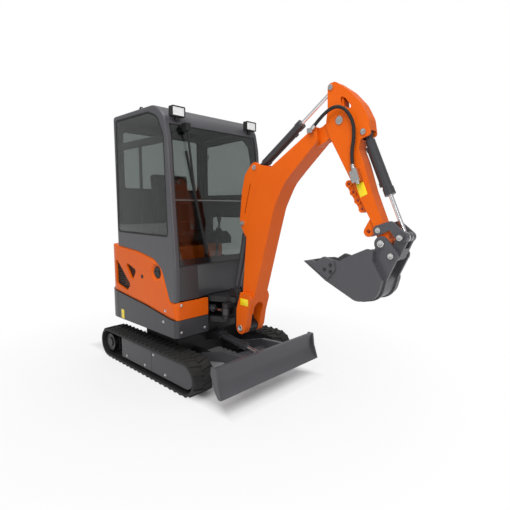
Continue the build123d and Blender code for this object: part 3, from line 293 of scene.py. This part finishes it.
# %% Metals
def metal(name, light, dark, roughness, streak_mm):
    made, tree, shader = new_finish(name, Metallic=1.0)
    place = add_node(tree, "TexCoord").outputs["Object"]
    cloud, tone = two_tones(tree, place, streak_mm, 3.0, light, dark)
    tree.links.new(tone, shader.inputs["Base Color"])
    uneven_gloss(tree, shader, cloud, roughness * 0.7, roughness * 1.3)
    tree.links.new(broken_edges(tree), shader.inputs["Normal"])
    return made


chrome = metal("hard_chrome", "#F0F0F2", "#E2E2E5", 0.28, 30)
zinc = metal("zinc_plate", "#D8D8D6", "#BFC0C0", 0.28, 12)
steel = metal("worn_steel", "#5A5A5C", "#3E3E40", 0.45, 25)
anodised = metal("anodised_aluminium", "#8E9090", "#7E8081", 0.4, 40)
print("metals:", chrome.name, zinc.name, steel.name, anodised.name)

# %% Dark eyes at the ends of the chromed rods: centre in metres, reach in millimetres
rod_eyes = [((0.750, 0, 1.318), 36), ((1.529, 0, 2.192), 36), ((2.039, 0, 1.269), 36),
            ((0.890, 0, 0.268), 36), ((0.595, -0.113, 0.588), 62)]
tree = chrome.node_tree
shader = tree.nodes["Principled BSDF"]
place = add_node(tree, "TexCoord").outputs["Object"]
bare = None
for centre, reach_mm in rod_eyes:
    gap = add_node(tree, "VectorMath", {"operation": "DISTANCE", 1: centre}, {0: place})
    clear = add_node(tree, "Math", {"operation": "GREATER_THAN", 1: reach_mm / 1000},
                     {0: gap.outputs["Value"]})
    bare = clear if bare is None else add_node(tree, "Math", {"operation": "MULTIPLY"},
                                               {0: bare.outputs[0], 1: clear.outputs[0]})
tone = shader.inputs["Base Color"].links[0].from_socket
mixed = add_node(tree, "Mix", {"data_type": "RGBA", 6: linear("#353538")}, {0: bare.outputs[0], 7: tone})
tree.links.new(mixed.outputs[2], shader.inputs["Base Color"])
tree.links.new(bare.outputs[0], shader.inputs["Metallic"])
print(len(rod_eyes), "rod eyes are dark")

# %% Tinted glass, and the windscreen with its printed band
def tinted(name, tint, band_z):
    made, tree, shader = new_finish(name, Base_Color=linear(tint), Roughness=0.0,
                                    IOR=1.45, Transmission_Weight=1.0)
    clear = add_node(tree, "BsdfTransparent", {"Color": linear(tint)})
    seen = add_node(tree, "LightPath")
    pane = add_node(tree, "MixShader", None,
                    {0: seen.outputs["Is Shadow Ray"], 1: shader.outputs[0], 2: clear.outputs[0]})
    place = add_node(tree, "SeparateXYZ", None, {0: add_node(tree, "TexCoord").outputs["Object"]})
    low = add_node(tree, "Math", {"operation": "LESS_THAN", 1: band_z}, {0: place.outputs["Z"]})
    print_band = add_node(tree, "BsdfPrincipled", {"Base Color": linear("#161617"), "Roughness": 0.15})
    whole = add_node(tree, "MixShader", None,
                     {0: low.outputs[0], 1: pane.outputs[0], 2: print_band.outputs[0]})
    tree.links.new(whole.outputs[0], tree.nodes["Material Output"].inputs["Surface"])
    return made


no_band, screen_band_z = 0.0, 1.033
glass = tinted("tinted_glass", "#9CA2A0", no_band)
screen_glass = tinted("banded_glass", "#A2A8A6", screen_band_z)
print("glass lets light through to the seat")

# %% [markdown]
# ## Finishes on the CAD pieces
# The record names a slot for every node. One table from slot to finish dresses them all,
# and the few pieces whose real surface differs from their slot's are named below it. Named
# there as well are the frames, skirts, counterweight, cab front and cylinders, which take a
# darker copy of the grey enamel as painted shade.

# %% Dress the solids
finish_of = {
    "orange_paint": orange, "grey_paint": grey, "black_paint": black, "steel": steel,
    "iron": iron, "chrome": chrome, "rubber": rubber, "black_plastic": plastic,
    "seat_cover": vinyl, "tinted_glass": glass,
}
special = {"windshield": screen_glass, "boom_fitting": zinc, "arm_coupler": zinc}
# These parts take the darker copy of the grey enamel, which is painted shade.
for name in ("track_frame_right", "track_frame_left", "skirts", "counterweight", "cab_front",
             "boom_cylinder", "arm_cylinder", "bucket_cylinder", "blade_cylinder", "swing_cylinder"):
    special[name] = painted_shade_grey
for name, node in nodes.items():
    slot = node.data.materials[0].name.split(".")[0]
    node.data.materials.clear()
    node.data.materials.append(special.get(name, finish_of[slot]))
print(len(nodes), "solids dressed")

# %% [markdown]
# ## Helpers for modelling by hand
# Three steps come back for every small piece: choose faces in edit mode by where they look,
# put the finished piece in its place and let it ride on a body, and copy one model to many
# spots. A model is made at the origin, looking up.

# %% Helpers
smooth_below = math.radians(35)
plain = (1, 1, 1)


def select_only(pieces):
    bpy.ops.object.select_all(action="DESELECT")
    for piece in pieces:
        piece.select_set(True)
    bpy.context.view_layer.objects.active = pieces[0]


def pick_faces(piece, test):
    select_only([piece])
    bpy.ops.object.mode_set(mode="EDIT")
    bpy.ops.mesh.select_mode(type="FACE")
    bpy.ops.mesh.select_all(action="DESELECT")
    bpy.ops.object.mode_set(mode="OBJECT")
    for face in piece.data.polygons:
        face.select = bool(test(face.center, face.normal))
    bpy.ops.object.mode_set(mode="EDIT")


def settle(piece, name, body, finish):
    select_only([piece])
    bpy.ops.object.transform_apply(location=True, rotation=True, scale=True)
    bpy.ops.object.shade_smooth_by_angle(angle=smooth_below)
    piece.name = name
    piece.data.materials.clear()
    piece.data.materials.append(finish)
    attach(piece, body)
    print(name, "rides on", body, len(piece.data.polygons), "faces")
    return piece


def spread(model, spots, name, body, finish):
    copies = []
    for place, facing, size in spots:
        twin = model.copy()
        twin.data = model.data.copy()
        scene.collection.objects.link(twin)
        twin.location = place
        twin.rotation_euler = Vector(facing).to_track_quat("Z", "Y").to_euler()
        twin.scale = size
        copies.append(twin)
    select_only(copies)
    bpy.ops.object.join()
    return settle(copies[0], name, body, finish)


def mirrored(spots):
    others = [((x, -y, z), (fx, -fy, fz), size) for (x, y, z), (fx, fy, fz), size in spots]
    return spots + others


print("helpers ready")

# %% [markdown]
# ## Spare hose
# A steel-braided rubber hose runs from a fitting on the boom over the elbow to a coupler on
# the arm. It is a smooth line through a few points, so a NURBS curve with a round section
# gives it, and it is then turned into a mesh.

# %% Hose as a NURBS line with a round section
route = [(1.440, -0.084, 1.968), (1.530, -0.084, 2.052), (1.640, -0.082, 2.058), (1.716, -0.076, 1.960),
         (1.720, -0.070, 1.850), (1.702, -0.066, 1.775), (1.712, -0.066, 1.700)]
hose_width = 0.022
line = bpy.data.curves.new("spare_hose_line", "CURVE")
line.dimensions = "3D"
spline = line.splines.new("NURBS")
spline.points.add(len(route) - 1)
for point, spot in zip(spline.points, route):
    point.co = (*spot, 1)
spline.order_u = 3
spline.use_endpoint_u = True
spline.resolution_u = 10
hose = bpy.data.objects.new("braided_hose", line)
scene.collection.objects.link(hose)
bpy.context.view_layer.update()
middle_line = bpy.data.meshes.new_from_object(hose)
bpy.data.meshes.remove(middle_line)
line.bevel_depth = hose_width / 2
line.bevel_resolution = 4
line.use_fill_caps = True
select_only([hose])
bpy.ops.object.convert(target="MESH")
bpy.ops.object.shade_smooth_by_angle(angle=smooth_below)
hose.data.materials.clear()
hose.data.materials.append(rubber)
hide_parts("spare_hose")
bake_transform(hose)

# %% [markdown]
# ## Bolts
# Panels and plates are held by flanged hexagon bolts, which shine against the dark paint.
# One bolt is two primitives in one mesh, a washer and a hexagon, both with bevelled edges.

# %% One bolt, looking up
bpy.ops.object.select_all(action="DESELECT")
bpy.ops.mesh.primitive_cylinder_add(vertices=20, radius=0.0125, depth=0.003, location=(0, 0, 0.0012))
bolt = bpy.context.object
bpy.ops.object.mode_set(mode="EDIT")
bpy.ops.mesh.bevel(offset=0.0008, segments=1, affect="EDGES")
bpy.ops.mesh.primitive_cylinder_add(vertices=6, radius=0.009, depth=0.006, location=(0, 0, 0.0055))
bpy.ops.mesh.bevel(offset=0.001, segments=2, affect="EDGES")
bpy.ops.object.mode_set(mode="OBJECT")
print("bolt has", len(bolt.data.polygons), "faces")

# %% Bolts on the house, the track frames and the bucket's side cutters
side_y, front_x, cheek_y, cutter_y = -0.505, 0.452, -0.540, -0.140
right, forward = (0, -1, 0), (1, 0, 0)
house_spots = [((x, side_y, z), right, plain) for x, z in ((0.273, 0.516), (0.305, 0.612))]
house_spots += [((front_x, y, z), forward, plain)
                for y, z in ((-0.455, 0.452), (-0.222, 0.447), (-0.452, 0.672))]
spread(bolt, mirrored(house_spots), "house_bolts", "house", zinc)
frame_spots = [((x, cheek_y, z), right, plain)
               for x, z in ((-0.288, 0.091), (0.162, 0.218), (0.024, 0.091), (0.334, 0.092))]
spread(bolt, mirrored(frame_spots), "track_frame_bolts", "undercarriage", zinc)
cutter_spots = [((x, cutter_y, z), right, plain)
                for x, z in ((1.618, 1.078), (1.620, 1.034), (1.574, 1.045))]
spread(bolt, mirrored(cutter_spots), "cutter_bolts", "bucket", steel)
bpy.data.objects.remove(bolt)

# %% [markdown]
# ## Pin ends
# Every joint of boom, arm and bucket turns on a plated steel pin, whose end shows as a
# bright disc with a turned rim and a shallow dish. The model has a radius and a height of
# one, and each copy is scaled to cover its own pin.

# %% One pin end, looking up
bpy.ops.object.select_all(action="DESELECT")
bpy.ops.mesh.primitive_cylinder_add(vertices=32, radius=1, depth=1, location=(0, 0, 0.5))
pin_end = bpy.context.object
bpy.ops.object.transform_apply(location=True, rotation=True, scale=True)
pick_faces(pin_end, lambda centre, normal: normal.z > 0.9)
bpy.ops.mesh.bevel(offset=0.1, segments=2, affect="EDGES")
bpy.ops.object.mode_set(mode="OBJECT")
pick_faces(pin_end, lambda centre, normal: normal.z > 0.99)
bpy.ops.mesh.inset(thickness=0.25)
bpy.ops.mesh.inset(thickness=0.08)
bpy.ops.transform.translate(value=(0, 0, -0.06))
bpy.ops.mesh.inset(thickness=0.3)
bpy.ops.transform.translate(value=(0, 0, -0.06))
bpy.ops.object.mode_set(mode="OBJECT")
print("pin end has", len(pin_end.data.polygons), "faces")

# %% Pin ends on each body: place, face of the cheek, radius and height in millimetres
pins = {
    "boom": [((763, 480), 107, 26, 9), ((750, 1318), 64, 18, 11), ((879, 1738), 64, 18, 11)],
    "arm": [((1600, 1980), 44, 26, 9), ((1529, 2192), 44, 18, 9), ((1767, 1890), 44, 18, 9),
            ((1890, 1304), 62.5, 17, 2.5)],
    "rocker": [((2039, 1269), 90, 17, 10)],
    "bucket": [((1926, 1228), 84, 21.5, 13), ((1990, 1160), 84, 17.5, 13)],
}
for body, ends in pins.items():
    spots = [((x / 1000, -y / 1000, z / 1000), right, (r / 1000, r / 1000, h / 1000))
             for (x, z), y, r, h in ends]
    spread(pin_end, mirrored(spots), body + "_pin_ends", body, zinc)
bpy.data.objects.remove(pin_end)

# %% [markdown]
# ## Work lamps
# The lens of a work lamp is a pale moulding with a grid of small pillows that spread the
# light. A grid gets one inset per cell, the insets are raised, and Solidify gives it a back.

# %% Lamp lens
lens_finish, tree, shader = new_finish("lamp_polycarbonate", Base_Color=linear("#E4E6E6"), Roughness=0.2,
                                       IOR=1.58, Coat_Weight=0.6, Coat_Roughness=0.05)
place = add_node(tree, "TexCoord").outputs["Object"]
flutes = add_node(tree, "TexWave", {"Scale": per_metre(60), "bands_direction": "Z"}, {"Vector": place})
shine = add_node(tree, "Bump", {"Strength": 0.2, "Distance": 0.0008}, {"Height": flutes.outputs["Fac"]})
tree.links.new(shine.outputs[0], shader.inputs["Normal"])
bpy.ops.object.select_all(action="DESELECT")
bpy.ops.mesh.primitive_grid_add(x_subdivisions=8, y_subdivisions=5, size=1)
lens = bpy.context.object
lens.scale = (0.104, 0.062, 1)
bpy.ops.object.transform_apply(location=True, rotation=True, scale=True)
bpy.ops.object.mode_set(mode="EDIT")
bpy.ops.mesh.select_all(action="SELECT")
bpy.ops.mesh.inset(thickness=0.0014, use_individual=True)
bpy.ops.transform.translate(value=(0, 0, 0.0012))
bpy.ops.object.mode_set(mode="OBJECT")
back = lens.modifiers.new("back", "SOLIDIFY")
back.thickness = 0.003
bpy.ops.object.modifier_apply(modifier=back.name)
lamp_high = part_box("work_lamps")[1]
lens_spot = (lamp_high.x - 0.0025, 0.062 - lamp_high.y, lamp_high.z - 0.040)
spread(lens, mirrored([(lens_spot, forward, plain)]), "lamp_lenses", "house", lens_finish)
bpy.data.objects.remove(lens)

# %% [markdown]
# ## Window seals
# Each pane sits in a black rubber seal that laps over its edge. A copy of the pane's mesh
# keeps only its narrow rim, Solidify lets the rim grow inwards over the pane, and Displace
# fattens it a little, so that it stands proud on both sides.

# %% Seals round the panes
def seal(pane, body, is_rim, lap):
    piece = bpy.data.objects.new(pane + "_seal", nodes[pane].data.copy())
    scene.collection.objects.link(piece)
    select_only([piece])
    bpy.ops.object.mode_set(mode="EDIT")
    bpy.ops.mesh.select_all(action="SELECT")
    bpy.ops.mesh.remove_doubles(threshold=0.00005)
    bpy.ops.object.mode_set(mode="OBJECT")
    pick_faces(piece, lambda centre, normal: not is_rim(normal))
    bpy.ops.mesh.delete(type="FACE")
    bpy.ops.object.mode_set(mode="OBJECT")
    wall = piece.modifiers.new("lap", "SOLIDIFY")
    wall.thickness = lap
    wall.offset = -1
    proud = piece.modifiers.new("proud", "DISPLACE")
    proud.strength = 0.0012
    proud.mid_level = 0
    bpy.ops.object.modifier_apply(modifier="lap")
    bpy.ops.object.modifier_apply(modifier="proud")
    return settle(piece, pane + "_seal", body, rubber)


seal("glass_right", "house", lambda normal: abs(normal.y) < 0.5, 0.014)
seal("glass_rear", "house", lambda normal: abs(normal.x) < 0.5, 0.014)
seal("door_glass", "door", lambda normal: abs(normal.y) < 0.5, 0.014)
seal("windshield", "house", lambda normal: abs(normal.y) > 0.9 or abs(normal.z) > 0.95, 0.012)

# %% [markdown]
# ## Windscreen joint
# The two halves of the windscreen meet in a pale aluminium strip. A bar follows the lean of
# the glass, its edges are bevelled, and a groove is pressed into its front.

# %% Strip between the two halves of the windscreen
strip_z = 1.497
glass_top_x, glass_top_z = 0.379, 1.961
lean = math.atan2(65, 881)
strip_x = glass_top_x + (glass_top_z - strip_z) * math.tan(lean)
bpy.ops.object.select_all(action="DESELECT")
bpy.ops.mesh.primitive_cube_add(size=1, location=(strip_x - 0.004, 0, strip_z), rotation=(0, -lean, 0),
                                scale=(0.014, 0.926, 0.009))
strip = bpy.context.object
bpy.ops.object.transform_apply(location=False, rotation=False, scale=True)
pick_faces(strip, lambda centre, normal: normal.x > 0.9)
bpy.ops.mesh.inset(thickness=0.0025)
bpy.ops.transform.translate(value=(-0.0015, 0, 0))
bpy.ops.object.mode_set(mode="OBJECT")
soft = strip.modifiers.new("soft", "BEVEL")
soft.width = 0.0008
soft.segments = 2
bpy.ops.object.modifier_apply(modifier=soft.name)
settle(strip, "screen_strip", "house", anodised)

# %% [markdown]
# ## Blank plates, reflector and key lock
# Instruction plates are thin yellow films, left blank here. A reflector is set in the skirt
# near the tail, and the side panel is closed by a key lock in a black ring.

# %% Plates and reflector
bpy.ops.object.select_all(action="DESELECT")
bpy.ops.mesh.primitive_plane_add(size=1)
plate = bpy.context.object
bpy.ops.object.mode_set(mode="EDIT")
bpy.ops.mesh.bevel(offset=0.08, segments=4, affect="VERTICES")
bpy.ops.mesh.inset(thickness=0.04)
bpy.ops.transform.translate(value=(0, 0, 0.5))
bpy.ops.object.mode_set(mode="OBJECT")
for name, body, place, size, turn in (
    ("foot_plate", "boom", (0.806, -0.1072, 0.697), (0.086, 0.054), 0),
    ("arm_plate", "arm", (1.768, -0.0442, 1.547), (0.052, 0.082), -23.4),
    ("skirt_reflector", "house", (-0.405, -0.5052, 0.456), (0.052, 0.086), 0),
):
    twin = plate.copy()
    twin.data = plate.data.copy()
    scene.collection.objects.link(twin)
    twin.rotation_euler = Euler((math.radians(90), math.radians(turn), 0))
    twin.location = place
    twin.scale = (*size, 0.0016)
    settle(twin, name, body, yellow)
bpy.data.objects.remove(plate)

# %% Key lock
bpy.ops.object.select_all(action="DESELECT")
bpy.ops.mesh.primitive_cylinder_add(vertices=32, radius=0.017, depth=0.005, location=(0, 0, 0.002))
lock = bpy.context.object
pick_faces(lock, lambda centre, normal: normal.z > 0.9)
bpy.ops.mesh.inset(thickness=0.0015)
bpy.ops.transform.translate(value=(0, 0, 0.001))
bpy.ops.mesh.inset(thickness=0.003)
bpy.ops.transform.translate(value=(0, 0, -0.003))
bpy.ops.mesh.inset(thickness=0.001)
bpy.ops.transform.translate(value=(0, 0, 0.0015))
bpy.ops.object.mode_set(mode="OBJECT")
spread(lock, [((-0.038, side_y, 0.852), right, plain)], "key_lock", "house", plastic)
bpy.data.objects.remove(lock)

# %% [markdown]
# ## Seat pads
# The seat has a foam cushion and a foam back, covered in vinyl. A foam pad is blown up by
# its filling against its cover, and a cloth simulation with inner pressure does just that.
# The sewn channels across the pads are pressed in afterwards.

# %% Foam pads
def foam_pad(name, place, size, rake):
    bpy.ops.object.select_all(action="DESELECT")
    bpy.ops.mesh.primitive_cube_add(size=1)
    pad = bpy.context.object
    pad.scale = size
    bpy.ops.object.transform_apply(location=True, rotation=True, scale=True)
    round_edge = pad.modifiers.new("round_edge", "BEVEL")
    round_edge.width = 0.030
    round_edge.segments = 4
    bpy.ops.object.modifier_apply(modifier=round_edge.name)
    pad.data.remesh_voxel_size = 0.006
    bpy.ops.object.voxel_remesh()
    swell = 0.010
    start = [vertex.co.copy() for vertex in pad.data.vertices]
    cloth = pad.modifiers.new("cover", "CLOTH")
    cloth.settings.use_pressure = True
    cloth.settings.uniform_pressure_force = 4
    cloth.settings.effector_weights.gravity = 0
    for step in range(1, 21):
        scene.frame_set(step)
    bpy.ops.object.modifier_apply(modifier=cloth.name)
    for vertex, home in zip(pad.data.vertices, start):
        move = vertex.co - home
        if move.length > swell:
            vertex.co = home + move * (swell / move.length)
    scene.frame_set(1)
    upright = size[2] > size[0]
    along, across = (2, 0) if upright else (0, 2)
    channels = [-0.25, 0.05, 0.30] if upright else [-0.28, 0.0, 0.28]
    channel_half, channel_depth = 0.007, 0.009
    for vertex in pad.data.vertices:
        if vertex.co[across] > 0.25 * size[across]:
            dip = sum(math.exp(-((vertex.co[along] - c * size[along]) / channel_half) ** 2) for c in channels)
            vertex.co[across] -= channel_depth * dip
    pad.rotation_euler = Euler((0, math.radians(rake), 0))
    pad.location = place
    settle(pad, name, "house", vinyl)
    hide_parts("seat")


foam_pad("seat_cushion", (-0.145, 0, 1.152), (0.405, 0.430, 0.100), -3)
foam_pad("seat_back", (-0.318, 0, 1.455), (0.088, 0.400, 0.610), -6)
